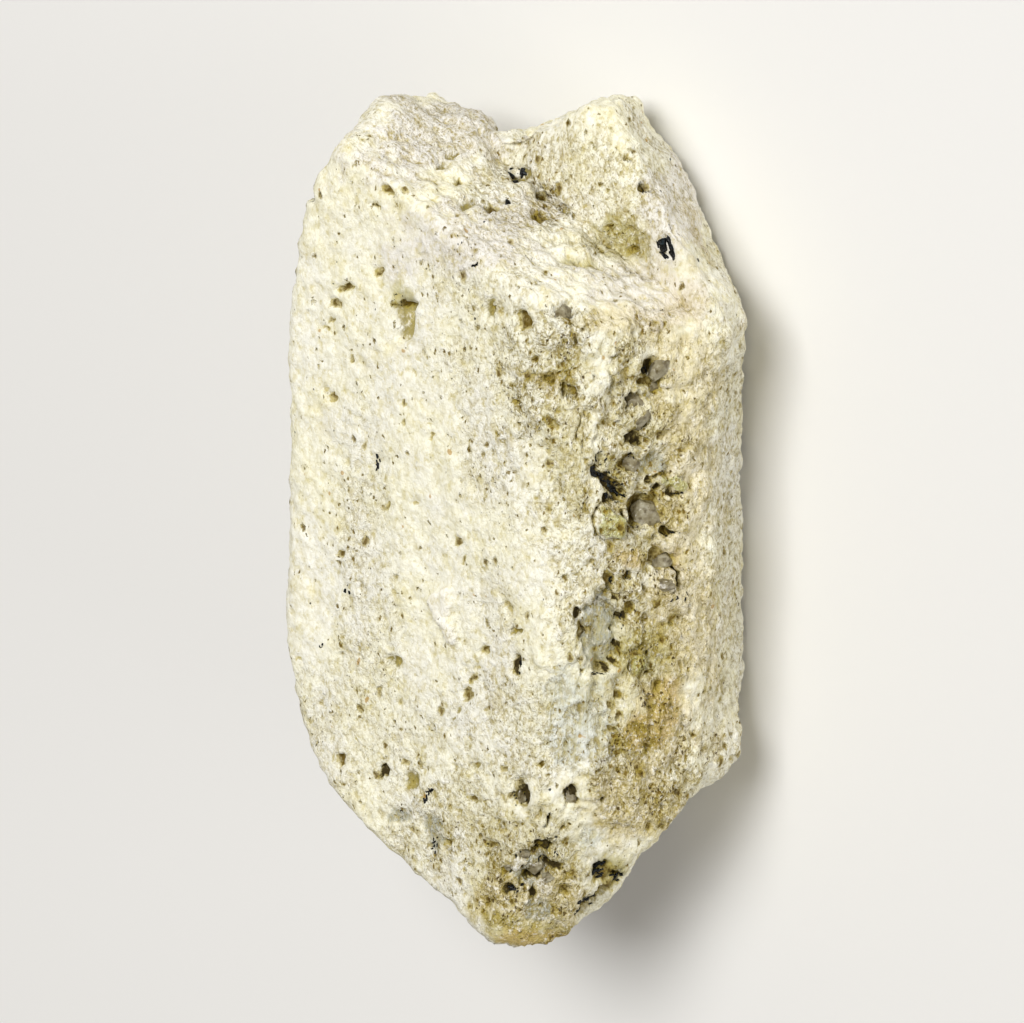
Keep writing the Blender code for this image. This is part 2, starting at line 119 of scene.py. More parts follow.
# Relief on the show side, by what colours the spot: across, up, half width, half height, lean of
# its top to the right in degrees, and height in mm, negative where it is sunk. Without the last
# two, a spot is upright and as deep as it may be, and a zone is upright and level.
SHOW_RELIEF = {
    # hollows lined with olive clay
    "olive": (
        (-6.9, 12.4, 0.62, 1.25, 8, -0.8), (-1.5, 13, 0.3, 0.8, 5, -0.5),
        (-7.6, -9.6, 0.35, 0.35, 0, -0.35), (0.3, -7.7, 0.35, 0.4, 0, -0.4),
        (-3.3, -12.7, 0.14, 0.4, 25, -0.4), (-3.7, -13.4, 0.12, 0.35, 20, -0.3),
        (-6.4, -17.3, 0.5, 0.6, 0, -0.3), (-2.4, -16.4, 0.3, 0.3),
        (-4.3, 22.4, 1, 0.26, -31, -0.35), (-2.6, 19.7, 0.7, 0.3, -10, -0.4),
        (0.3, 21.5, 0.75, 0.45, 0, -0.35), (3.6, 19, 0.25, 0.7, -15, -0.5),
        (5.1, 23.6, 0.2, 0.9, -22, -0.4), (5.1, 6.3, 0.3, 0.25), (0.6, 4.7, 0.3, 0.25),
        (6.7, -7.7, 0.22, 0.35),
    ),
    # pits with a rusty skin
    "brown": (
        (-7.1, 13.2, 0.55, 0.3, 10, -0.2), (-10.8, 14.3, 0.65, 0.35, -20, -0.7),
        (-11.4, 13.2, 0.3, 0.32), (-11.6, 12.2, 0.28, 0.28), (-11.9, 11.7, 0.2, 0.22),
        (-11.5, 10.8, 0.22, 0.26), (-7.9, 20.5, 0.4, 0.35, 20, -0.5), (-8.6, 15.4, 0.25, 0.25),
        (-10.4, 9.9, 0.2, 0.4), (-12.1, 7.9, 0.25, 0.25), (-11.5, 7.3, 0.3, 0.3),
        (-6.9, 7, 0.2, 0.3), (-7, 5.7, 0.2, 0.3), (-5.3, 5.6, 0.25, 0.22),
        (-5.2, 4.7, 0.22, 0.35), (-6.3, 2.6, 0.2, 0.3), (-9.6, 4.1, 0.2, 0.25),
        (0.7, 12.3, 0.35, 0.7), (-8.1, 0.4, 0.25, 0.3), (-6.3, 0.6, 0.22, 0.25),
        (-3.5, -2, 0.26, 0.26), (-3.1, -3.2, 0.12, 0.35), (-11.1, -2.7, 0.22, 0.3),
        (-13.6, -9.4, 0.25, 0.25), (-0.2, -6.2, 0.25, 0.4), (-1.9, -8.9, 0.3, 0.35),
        (-2.2, -9.9, 0.16, 0.4, 10, -0.5), (-2.5, -10.8, 0.22, 0.3, 20, -0.5),
        (-2.9, -11.8, 0.26, 0.5, 15, -0.6), (-7.1, -12.3, 0.25, 0.3), (-10.8, -15.7, 0.3, 0.35),
        (-6.9, -16.2, 0.3, 0.3), (-4.2, -21.2, 0.3, 0.3), (-2.6, -18.4, 0.25, 0.3),
        (-3.4, -19.3, 0.2, 0.25), (-0.9, -19.9, 0.3, 0.25, 20, -0.4), (-1.4, -21.3, 0.35, 0.3),
        (-3.1, -22.9, 0.2, 0.2), (-0.6, -16.6, 0.2, 0.25), (1.9, -16.2, 0.25, 0.2),
        (-3.4, 21.2, 0.35, 0.3), (-4.9, 21.3, 0.3, 0.25), (-1.2, 19.6, 0.6, 0.35),
        (1.9, 20.3, 0.3, 0.3), (1.9, 19, 0.35, 0.3), (6, 18.2, 0.3, 0.3, 0, -0.3),
        (7.4, 16.6, 0.3, 0.25, 0, -0.3), (5.9, 16.9, 0.22, 0.25), (7.4, 22.8, 0.3, 0.35),
        (8.5, 20.8, 0.4, 0.3), (6.1, 20.6, 0.25, 0.25), (3.8, 11.9, 0.35, 0.35),
        (3.5, 10.9, 0.28, 0.3), (4.2, 10.9, 0.28, 0.25), (5.7, 10, 0.25, 0.25),
        (6.4, 10, 0.28, 0.25), (2.4, 8.4, 0.5, 0.5, 0, -0.5), (3.4, 7.7, 0.5, 0.6, 0, -0.5),
        (1.4, 8.7, 0.28, 0.3), (0.8, 8.1, 0.22, 0.4), (0.3, 6.9, 0.25, 0.25),
        (1.9, 5.7, 0.22, 0.45, 20, -0.4), (4.2, 5.7, 0.2, 1.2, 4, -0.45),
        (9.1, 8.1, 0.85, 0.6, -15, -0.9), (7.7, 3, 0.5, 0.5, 0, -0.6), (7, 0.9, 0.25, 0.25),
        (5.1, -1, 0.16, 0.6, -10, -0.4), (8.7, 0, 0.85, 0.8, 0, -0.8),
        (9.8, -3.2, 0.9, 0.8, 0, -0.7), (6.3, -4.4, 0.35, 0.5), (7.4, -4.1, 0.3, 0.25),
        (7.6, -6.2, 0.4, 0.28), (4.2, -8.4, 0.2, 1.6, 2, -0.3), (6.9, -11.6, 0.15, 0.4),
        (6.5, -12.5, 0.22, 0.2), (7, -13.1, 0.18, 0.3, 10, -0.4), (6.5, -13.9, 0.25, 0.2),
        (6.9, -14.7, 0.15, 0.4, -8, -0.4), (6.5, -15.4, 0.22, 0.2), (7.2, -15.6, 0.15, 0.22),
        (8.6, -12.6, 0.3, 0.25), (9.4, -14, 0.35, 0.25), (8.6, -15.2, 0.3, 0.3),
        (0.2, -20.4, 0.3, 0.3), (2.3, -20, 0.28, 0.4), (-2.7, -22.5, 0.28, 0.3),
        (-0.4, -22.9, 0.3, 0.35), (6.4, -24.2, 1.1, 0.6, -35, -0.2),
        (5.9, -23.2, 0.9, 0.65, 0, -0.2),
    ),
    # deep pits and an underside at the broken end, dark inside: partly the stone's own dark, partly
    # painted shade
    "dark": (
        (-6.45, 12.8, 0.16, 0.5, 5, -0.2), (-8.9, 19.5, 0.28, 0.32),
        (-6.9, 20.9, 0.22, 0.1, -30, -0.3), (-0.4, 10.3, 0.25, 0.25), (0.3, -10, 0.3, 0.6),
        (-8.3, -16.7, 0.36, 0.48), (8.6, 9.1, 0.55, 0.4, -30, -1), (9.9, 7.9, 0.45, 0.25),
        (7.95, 7.1, 0.62, 0.62), (7.95, 4.7, 0.6, 0.58), (6.1, 1.9, 0.38, 1.6, -51, -0.5),
        (6, 0.9, 0.22, 0.25), (6.3, -1.85, 0.6, 0.2, -10, -0.45), (10.3, 1.1, 0.75, 0.2, 8, -0.8),
        (10, -1.3, 0.5, 0.35, 10, -0.8), (10.6, -4.3, 0.5, 0.8), (4.1, -6.6, 0.3, 0.5),
        (6.8, -5.6, 0.25, 0.3), (7.2, -6.7, 0.3, 0.3), (7, -8.7, 0.22, 0.3),
        (4.4, -10.2, 0.35, 0.22), (5.2, -10.4, 0.45, 0.25), (6.1, -10.2, 0.4, 0.22, 10, -0.5),
        (6.8, -9.9, 0.3, 0.25), (8.3, -10.7, 0.45, 0.2), (0.5, -18.2, 0.6, 0.95),
        (3.7, -18.2, 0.55, 0.5, 0, -0.5), (5.8, -18.5, 0.35, 0.3), (2.3, -19.8, 0.4, 0.4),
        (0.9, -21.7, 0.8, 0.25, 5, -0.6), (2, -21.4, 0.6, 0.35, 20, -0.8), (2.6, -22.7, 0.6, 0.3),
        (1.3, -23.5, 0.6, 0.35), (-0.35, -24.2, 0.4, 0.4, 20, -0.8), (0.5, -24.4, 0.45, 0.25),
        (1.3, -24.5, 0.4, 0.3), (2.9, -24.3, 0.25, 0.25), (5.6, -22.9, 0.65, 0.55, 0, -0.7),
        # the last spot here is painted shadow on the underside of the broken end
        (6.7, -23.4, 0.35, 0.35), (5.3, -25.4, 1.6, 0.8, -30, -0.8),
    ),
    # recesses of greyer stone
    "grey": (
        (-7.2, -19.5, 0.9, 0.6, 0, -0.15), (-5, -20.6, 0.6, 1.3, -20, -0.2),
        (3.4, 12.8, 0.75, 0.75, 0, -0.7), (8.5, 5.7, 0.35, 0.6, 35, -0.5),
        (9.2, 3, 0.9, 0.7, 0, -0.25), (5.6, -7.9, 1.5, 2.4, 0, -0.65),
        (5.8, -5.6, 0.8, 0.8, 0, -0.3), (1.2, -22.9, 1.4, 1.3, 20, -0.35),
        (1.5, -25.3, 1, 0.9, 0, 0),
    ),
    # patches of the whitest clay
    "white": (
        (-4.5, -6, 0.75, 0.95, -10, 0.35), (-4, -7.6, 0.4, 1, -22, 0.35),
        (9.9, 16.8, 0.5, 0.8, 0, -0.3), (0.4, -22.6, 0.45, 0.5, 0, 0.25),
        (2, -23.9, 0.4, 0.5, 0, 0.2),
    ),
    # lumps of yellow-green clay, each in a moat painted dark as shade
    "lime": (
        (6.15, -0.6, 0.85, 1.05, 0, 0.5), (10.4, 1.8, 1, 0.4, 8, 0.3),
        (8.3, -9.7, 0.55, 0.8, 0, 0.2),
    ),
    # cleaved patches
    "ribbed": ((4.4, -13.2, 2.6, 3.2, 0, 0), (5.6, -7.8, 1.6, 2.6, 0, 0)),
    # bumps and ridges of the same stone
    "plain": (
        (0.2, 20.6, 1.2, 0.5, 0, 0.15), (3.6, 16.6, 1, 0.3, 15, 0.35),
        (5.2, 16.1, 0.9, 0.25, 12, 0.3), (4.2, 23.8, 0.6, 0.8, 0, 0.15),
        (5.7, 7.5, 0.35, 1.8, 5, 0.35), (6.7, 7.8, 0.25, 1.5, -8, 0.3),
        (4.9, 4.5, 0.25, 1.6, 6, 0.25), (9.8, -4.6, 0.45, 0.3, 0, 0.3),
        (2.8, -8.1, 1.35, 2.1, 0, 0.25),
    ),
    # zones by their texture
    "porous": (
        (8, 2, 4, 10), (3, 8.5, 3, 3.5), (2.6, -22.5, 3.6, 4.4), (4, 3, 2, 7), (9.2, -8, 2, 4),
        (8.2, -17, 3.6, 4.5), (2.4, 19.2, 0.9, 1.3), (7.2, 17.2, 1.6, 1.1, 10, 0),
    ),
    "sugary": (
        (1, -14.5, 3.5, 4), (-3.5, -20, 4.5, 3.5), (6.5, 20, 5, 5.5, -20, 0),
        (0.5, 20.8, 6, 3.2, -25, 0), (13, 0, 2.6, 15), (4, 0, 3, 8), (-4.5, 24, 5, 2.8, -20, 0),
    ),
    "flowing": ((3.6, 5, 3.4, 7, 4, 0), (12.4, -1, 1.6, 13)),
    "smooth": ((-9.5, 14, 5, 9),),
    # zones by their stain; the tan and dull zones are partly painted shade, on the broken end, the
    # rounded edge and the right face
    # tan: partly stain, partly painted shade on the broken end and the right face
    "tan": (
        (9.7, -13.6, 2.3, 3.1), (0.3, -27.1, 1.8, 0.6), (2, -25.5, 4, 2.5), (8, -19.5, 4, 2.5),
        (6.4, 12.3, 1.6, 1), (11, 0, 2, 15),
    ),
    # dull: partly stain, partly painted shade on the rounded edge, the right face and the broken
    # end
    "dull": (
        (4.3, 9.2, 1.4, 1.1, 0, -0.35), (3.6, 3.5, 1.6, 4), (2.5, -22.5, 5, 4.5),
        (8, -19, 4.5, 3), (8, -10, 3, 5), (8, 2.5, 2.6, 6), (9.2, 16.8, 3.2, 1.6, 20, 0),
    ),
    "mossy": (
        (-7, 13.6, 0.7, 0.9, 10, 0), (4.4, 15.9, 1.7, 0.3, 12, -0.35),
        (6.8, 17.2, 1.6, 1, 8, -0.25), (3, 8.6, 1.6, 1.3), (5.5, 3.4, 0.45, 0.35, 0, -0.5),
        (6.5, 2.6, 1, 0.5, 40, -0.25), (8.4, -9.2, 1.6, 1.6), (8, -14.3, 1.2, 1),
        (7, 17.3, 2, 1.4, 10, 0), (0.8, -27, 3, 1.2), (6, -23, 1.6, 1.4),
    ),
    "chalk": (
        (-4.5, 24, 5, 2.8, -20, 0), (8.5, 14.2, 4.5, 1.8, 15, 0), (10.6, 19.5, 2.2, 6, 28, 0),
        (-3, 17.6, 5.5, 2.6),
    ),
    "slate": ((4.3, -13.2, 2.3, 3, 0, -0.1), (5, -21, 1.2, 0.9)),
    "amber": (
        (8.2, -13.9, 1.3, 1.1), (9.9, -12.4, 0.9, 1.6), (2.6, 8.4, 0.9, 0.9), (10, -3, 1, 1),
        (7.6, -3, 0.8, 0.6), (0.8, -27.2, 2.6, 0.7),
    ),
}
ZONES = ("porous", "tan", "dull", "mossy", "chalk", "slate", "amber", "smooth", "sugary", "flowing")
STAINS_AND_SHADE = ("olive", "brown", "dark", "grey", "white", "lime", "tan", "dull", "mossy", "chalk",
          "slate", "amber")
SQUARENESS = 2.6  # of a spot's outline: 2 is an ellipse, and more is squarer
RIM_WIDTH = 0.32  # mm, over which a spot falls away
BROKEN_BELOW = 0.3  # mm, half width of the spots that are broken up
DEEPEST = 1.3  # depth of a pit at most, times its narrower half
MOAT_REACH = 1.45  # of a lime lump, times its half size
MOAT_DEPTH = 0.4  # mm

HIDDEN_PITS = 90  # on each crystal
HIDDEN_PIT_DEPTH = (0.3, 1.0)  # mm
HIDDEN_PIT_REACH = (0.35, 1.3)  # mm

# Heights of the weathering, in mm, from the largest feature to the smallest.
MOUND_HEIGHT, SIDE_MOUND_HEIGHT = 0.24, 0.42
RIB_HEIGHT, RIDGE_HEIGHT, LAYER_HEIGHT = 0.28, 0.24, 0.13
GRAIN_HEIGHT, ROUGH_GRAIN_HEIGHT = 0.08, 0.10
PORE_DEPTHS = (0.42, 0.28, 0.40)  # large, small and eaten ones
DEEPEST_PORE = 0.55


def eased(x):
    """0 below 0, 1 above 1, and 3x^2 - 2x^3 between."""
    x = np.clip(x, 0.0, 1.0)
    return x * x * (3.0 - 2.0 * x)


def hashed(cell, seed):
    """A repeatable number from 0 to 1 for each whole-number cell: its indices stirred together."""
    mixed = cell[..., 0] * 73856093 ^ cell[..., 1] * 19349663 ^ cell[..., 2] * 83492791
    mixed = (mixed + seed * 374761393) & 0xFFFFFFFF
    mixed = ((mixed ^ (mixed >> 15)) * 2246822519) & 0xFFFFFFFF
    mixed = ((mixed ^ (mixed >> 13)) * 3266489917) & 0xFFFFFFFF
    return (mixed ^ (mixed >> 16)) / 4294967295.0


def steps(*ends):
    """The steps to a cell's corners or neighbours: all triples of the ends."""
    return np.stack(np.meshgrid(ends, ends, ends, indexing="ij"), -1).reshape(-1, 3)


def soft_noise(points, size, seed):
    """Noise from -1 to 1: seeded values at the corners of cubes of that size, eased between."""
    places = points / size
    cell = np.floor(places).astype(np.int64)
    part = eased(places - cell)
    total = np.zeros(len(points))
    for corner in steps(0, 1):
        weight = np.prod(np.where(corner, part, 1.0 - part), axis=1)
        total += weight * hashed(cell + corner, seed)
    return total * 2.0 - 1.0


def seeded_centres(places, seed):
    """Each of the 27 cells at and around each place, with the one seeded centre in it."""
    cell = np.floor(places).astype(np.int64)
    for step in steps(-1, 0, 1):
        near = cell + step
        yield near, near + np.stack([hashed(near, seed + k) for k in range(3)], axis=1)


def cobbles(points, size, seed):
    """Packed round grains: 1 at a grain's centre, falling with the square of the distance from the
    nearest of the seeded centres, one for each cube of that size."""
    places = points / size
    nearest = np.full(len(points), 9.0)
    for _, centre in seeded_centres(places, seed):
        nearest = np.minimum(nearest, ((places - centre) ** 2).sum(axis=1))
    return 1.0 - np.minimum(nearest, 1.2)


def pores(points, spacing, reach, share, seed):
    """How deep each point lies in a pore, 0 to 1: one ball of random radius in a share of the
    seeded cells, with steep walls."""
    places = points / spacing
    deepest = np.zeros(len(points))
    for near, centre in seeded_centres(places, seed):
        radius = reach * (0.45 + 1.1 * hashed(near, seed + 3) ** 2)
        radius = radius * (hashed(near, seed + 4) < share)
        away = np.linalg.norm((places - centre) * spacing, axis=1) / np.maximum(radius, 1e-6)
        deepest = np.maximum(deepest, 1.0 - eased((away - 0.45) / 0.75))
    return deepest


def facets(faces):
    """Outward normals of a crystal's faces and their distances from the origin."""
    turn, rise, reach = np.array(faces, float).T
    turn, rise = np.radians(turn), np.radians(rise)
    level = np.cos(rise)
    return np.stack([np.cos(turn) * level, np.sin(turn) * level, np.sin(rise)], axis=1), reach


def worn_crystal(points, faces):
    """Distance outside a block with worn edges, and its slope: wear * log(sum(exp(gap / wear)))
    over the gaps to all faces."""
    normals, reach = facets(faces)
    gaps = points @ normals.T - reach
    largest = gaps.max(axis=1, keepdims=True)
    weights = np.exp((gaps - largest) / EDGE_WEAR)
    total = weights.sum(axis=1, keepdims=True)
    return (largest + EDGE_WEAR * np.log(total))[:, 0], (weights / total) @ normals


def box_grid(cells):
    """Points on the surface of a box as a grid on each side, with the rims shared. Gives places
    from -1 to 1, and the quads as rows of four point numbers, facing outwards."""
    numbers = np.full([n + 1 for n in cells], -1)
    at = np.stack(np.meshgrid(*[np.arange(n + 1) for n in cells], indexing="ij"), -1)
    rim = ((at == 0) | (at == np.array(cells))).any(axis=-1)
    numbers[rim] = np.arange(rim.sum())
    quads = []
    for axis in range(3):
        for end in (0, -1):
            side = np.take(numbers, end, axis=axis)
            ring = np.stack([side[:-1, :-1], side[1:, :-1], side[1:, 1:], side[:-1, 1:]], -1)
            outward = (end == -1) != (axis == 1)
            quads.append(ring.reshape(-1, 4)[:, ::1 if outward else -1])
    return at[rim] / np.array(cells) * 2.0 - 1.0, np.concatenate(quads)


def summed(numbers, values, count):
    """Sum of the rows of values that share a point number."""
    return np.stack([np.bincount(numbers, values[:, k], count) for k in range(3)], axis=1)


def crystal_surface(faces, cells, centre):
    """A crystal's surface on a box grid: each point goes out from the centre to the nearest face,
    then slides to the mean of its neighbours and back on to the worn form, until all is even."""
    places, quads = box_grid(cells)
    normals, reach = facets(faces)
    outward = places * np.array(cells)
    speed = outward @ normals.T
    travel = np.where(speed > 1e-6, (reach - normals @ centre) / np.maximum(speed, 1e-6), np.inf)
    points = centre + outward * travel.min(axis=1)[:, None]
    links = np.concatenate([quads[:, [k, (k + 1) % 4]] for k in range(4)])
    pull_to = np.concatenate([links[:, 0], links[:, 1]])
    pull_from = np.concatenate([links[:, 1], links[:, 0]])
    share = 1.0 / np.bincount(pull_to, minlength=len(points))[:, None]
    for _ in range(EVENING_PASSES):
        points += 0.8 * (summed(pull_to, points[pull_from], len(points)) * share - points)
        distance, slope = worn_crystal(points, faces)
        points -= slope * (distance / (slope ** 2).sum(axis=1).clip(0.2))[:, None]
    return points, quads


def grid_normals(points, quads):
    """Outward normal at each point: the summed cross products of the diagonals of its quads."""
    a, b, c, d = (points[quads[:, k]] for k in range(4))
    faces = np.cross(c - a, d - b)
    normals = summed(quads.ravel(), np.repeat(faces, 4, axis=0), len(points))
    return normals / np.linalg.norm(normals, axis=1, keepdims=True).clip(1e-12)


def on_drawing(points):
    """Across and up of each point on the drawing of the show side."""
    offset = points - MIDDLE
    shrink = EYE_DISTANCE / (EYE_DISTANCE - offset @ TOWARDS_EYE)
    return offset @ ACROSS * shrink, offset @ UPWARD * shrink


def show_relief(points, normals):
    """Height of the named relief, and how far each point lies in a spot of each tint. A spot is a
    rounded box whose outline wanders, flat inside, and falls away over a narrow rim. A zone fades
    out instead, and a lime lump has a moat, painted dark as shade."""
    across, up = on_drawing(points)
    facing = eased(normals @ TOWARDS_EYE / 0.25)
    across = across + 0.16 * soft_noise(points, 0.7, 3)
    up = up + 0.16 * soft_noise(points, 0.7, 4)
    wander = 0.30 * soft_noise(points, 0.8, 5) + 0.22 * soft_noise(points, 0.38, 6)
    drift = 0.5 * soft_noise(points, 2.5, 8) + wander
    broken = np.clip(0.8 + 0.9 * soft_noise(points, 0.5, 7), 0.0, 1.0)
    height = np.zeros(len(points))
    tints = {tint: np.zeros(len(points)) for tint in SHOW_RELIEF}
    for tint, spots in SHOW_RELIEF.items():
        for a, b, half_width, half_height, *rest in spots:
            lean, level = rest or (0, 0.0 if tint in ZONES else -math.inf)
            turn = math.radians(lean)
            u = (across - a) * math.cos(turn) - (up - b) * math.sin(turn)
            v = (across - a) * math.sin(turn) + (up - b) * math.cos(turn)
            away = np.abs(u / half_width) ** SQUARENESS + np.abs(v / half_height) ** SQUARENESS
            away **= 1 / SQUARENESS
            narrow = min(half_width, half_height)
            away += drift if tint in ZONES else wander * min(1.0, 0.55 / narrow)
            rim = 0.9 if tint in ZONES else min(0.45, RIM_WIDTH / narrow)
            spot = (1.0 - eased((away - 0.95) / rim + 0.5)) * facing
            if narrow < BROKEN_BELOW:
                spot = spot * broken
            height += max(level, -DEEPEST * narrow) * spot
            tints[tint] = np.maximum(tints[tint], spot)
            if tint == "lime":
                moat = eased((away - 1.0) / 0.15) * eased((MOAT_REACH - away) / 0.15)
                moat = moat * facing * broken
                height -= MOAT_DEPTH * moat
                # painted shade: the moat takes the dark tint
                tints["dark"] = np.maximum(tints["dark"], 0.9 * moat)
    return height, tints


def form(points):
    """Swellings and hollows: a bell curve round each centre, and long waves in the surface."""
    height = 0.20 * soft_noise(points * [1, 0.7, 1], 4.5, 21)
    height += 0.14 * soft_noise(points * [1, 0.6, 1], 2.2, 22)
    for x, y, z, reach, level in LUMPS:
        away = np.linalg.norm(points - np.array([x, y, z]), axis=1) / reach
        height += level * np.exp(-away * away)
    return height


def hidden_pits(points, normals, seed):
    """Round pits on the sides that face away from the eye: how deep, in mm."""
    dice = np.random.default_rng(seed)
    away_side = np.flatnonzero((normals @ TOWARDS_EYE < 0.05) & (points[:, 2] > 1.0))
    depth = np.zeros(len(points))
    for centre in points[dice.choice(away_side, HIDDEN_PITS, replace=False)]:
        reach = dice.uniform(*HIDDEN_PIT_REACH)
        stretch = np.array([1.0, dice.uniform(0.5, 1.0), 1.0])
        away = np.linalg.norm((points - centre) * stretch, axis=1) / reach
        away += 0.2 * soft_noise(points, 0.6, seed)
        deepest = dice.uniform(*HIDDEN_PIT_DEPTH)
        depth = np.maximum(depth, deepest * (1.0 - eased((away - 0.5) / 0.5)))
    return depth


def seat(points, normals):
    """1 on the oval flat that the stone rests on, 0 away from it."""
    away = np.hypot(points[:, 0] / SEAT[0], points[:, 1] / SEAT[1])
    below = eased((-normals[:, 2] - 0.8) / 0.15) * (points[:, 2] < 2.0)
    return (1.0 - eased((away - 0.9) / 0.5)) * below


def weathered(points, quads, seed):
    """The finished surface and the numbers that colour it: form first, then cobbles, pores, ribs
    and grain along the normals of that form."""
    normals = grid_normals(points, quads)
    cleaved = eased((normals[:, 0] - 0.75) / 0.2)
    flat = seat(points, normals)
    relief, tints = show_relief(points, normals)
    sunk = hidden_pits(points, normals, seed)
    height = (relief - sunk + form(points)) * (1.0 - flat) + SEAT[2] * flat
    points = points + normals * height[:, None]
    normals = grid_normals(points, quads)

    bent = points + np.stack([0.16 * soft_noise(points, 0.7, k)
                              + 0.10 * soft_noise(points, 0.35, k + 3)
                              for k in (31, 32, 33)], axis=1)
    drawn_out = bent * [1.0, 0.7, 1.0]
    patchy = 0.5 + 0.8 * soft_noise(drawn_out, 5.0, 41) + 0.35 * soft_noise(drawn_out, 2.0, 42)
    scattered = eased(patchy) * 0.5 * (1.0 - 0.8 * tints["smooth"])
    porous = np.clip(scattered + 0.8 * tints["porous"], 0.0, 1.0)
    large = pores(drawn_out, spacing=1.9, reach=0.34, share=0.45, seed=51)
    small = pores(drawn_out, spacing=0.85, reach=0.22, share=0.5, seed=61)
    eaten = pores(drawn_out, spacing=0.9, reach=0.28, share=0.6, seed=65) * tints["porous"]
    large = large * (0.1 + 0.9 * porous)
    small = small * (0.2 + 0.8 * porous)
    pitted = PORE_DEPTHS[0] * large + PORE_DEPTHS[1] * small + PORE_DEPTHS[2] * eaten

    side = 1.0 - eased((normals[:, 2] - 0.3) / 0.3)
    lumpy = 0.7 * cobbles(drawn_out, 1.1, 81) + 0.3 * cobbles(drawn_out, 0.62, 91)
    mounds = (MOUND_HEIGHT + SIDE_MOUND_HEIGHT * side) * (lumpy - 0.6)
    flow = 3.0 * soft_noise(bent * [1.0, 0.35, 1.0], 1.7, 74) + 0.8 * soft_noise(bent, 0.8, 75)
    layers = np.floor(flow) + eased((flow - np.floor(flow) - 0.3) / 0.4)
    ribbed = np.maximum(tints["ribbed"], 0.8 * cleaved)
    ribs = RIB_HEIGHT * ribbed * soft_noise(bent * [1.0, 0.22, 1.0], 0.45, 73)
    ribs += RIDGE_HEIGHT * tints["flowing"] * soft_noise(bent * [1.0, 0.2, 1.0], 0.5, 76)
    rough = np.maximum(np.maximum(tints["dark"], tints["brown"]), tints["olive"])
    grain = (GRAIN_HEIGHT + ROUGH_GRAIN_HEIGHT * rough) * soft_noise(points, 0.42, 71)
    height = mounds + LAYER_HEIGHT * tints["porous"] * layers + ribs + grain
    height -= np.clip(pitted, 0.0, DEEPEST_PORE)
    points = points + normals * (height * (1.0 - flat))[:, None]
    points[:, 2] = np.maximum(points[:, 2], 0.0)

    numbers = {label: tints[label] for label in STAINS_AND_SHADE}
    # pit: how deep a point lies in a pore or pit; its colour film darkens the middles, partly brown
    # stain and partly painted shade
    numbers["pit"] = np.clip(np.maximum(large, small) + 0.9 * eaten + sunk, 0.0, 1.0) * (1.0 - flat)
    # crease_shade: how low a point lies between the cobbles and ribs, used for painted shade in the
    # colour
    numbers["crease_shade"] = 1.0 - np.clip(lumpy / 0.95 + 3.0 * ribs, 0.0, 1.0)
    numbers["granular"] = np.maximum(0.75 * porous, 0.6 * tints["sugary"])
    return points, {**numbers, "porous": porous, "ribbed": ribbed}


def mesh_piece(name, points, quads, numbers=None):
    """An object at the origin from points in mm, rows of point numbers, and a number per point. It
    is flat-shaded if it has no numbers."""
    mesh = bpy.data.meshes.new(name)
    mesh.from_pydata((points * MM).tolist(), [], quads.tolist())
    for label, values in (numbers or {}).items():
        layer = mesh.attributes.new(label, "FLOAT", "POINT")
        layer.data.foreach_set("value", values.astype(np.float32))
    if numbers:
        mesh.shade_smooth()
    piece = bpy.data.objects.new(name, mesh)
    bpy.context.scene.collection.objects.link(piece)
    return piece


def linear(colour):
    """Linear RGBA of an sRGB hex colour."""
    channels = [int(colour[k:k + 2], 16) / 255.0 for k in (1, 3, 5)]
    curve = (c / 12.92 if c <= 0.04045 else ((c + 0.055) / 1.055) ** 2.4 for c in channels)
    return (*curve, 1.0)


def node(tree, kind, links=None, **settings):
    """One shader node: settings are its properties, links its inputs, each a value or a socket."""
    made = tree.nodes.new(kind)
    for label, value in settings.items():
        setattr(made, label, value)
    for slot, value in (links or {}).items():
        if isinstance(value, bpy.types.NodeSocket):
            tree.links.new(value, made.inputs[slot])
        else:
            made.inputs[slot].default_value = value
    return made


def new_material(name, roughness, ior, specular=0.5):
    """An empty material with its shader's fixed values set."""
    finish = bpy.data.materials.new(name)
    finish.use_nodes = True
    shader = finish.node_tree.nodes["Principled BSDF"]
    for label, value in (("Roughness", roughness), ("IOR", ior), ("Specular IOR Level", specular)):
        shader.inputs[label].default_value = value
    return finish, finish.node_tree, shader


def coloured(tree, shader, base, masks, films, easing="LINEAR"):
    """A base colour under films, each laid over the last: its mask, the mask's range, its strength
    and its hue."""
    colour = linear(base)
    for label, low, high, strength, hue in films:
        amount = node(tree, "ShaderNodeMapRange",
                      {"Value": masks[label], "From Min": low, "From Max": high,
                       "To Max": strength}, interpolation_type=easing).outputs[0]
        colour = node(tree, "ShaderNodeMix", {0: amount, 6: colour, 7: linear(hue)},
                      data_type="RGBA").outputs[2]
    tree.links.new(colour, shader.inputs["Base Color"])


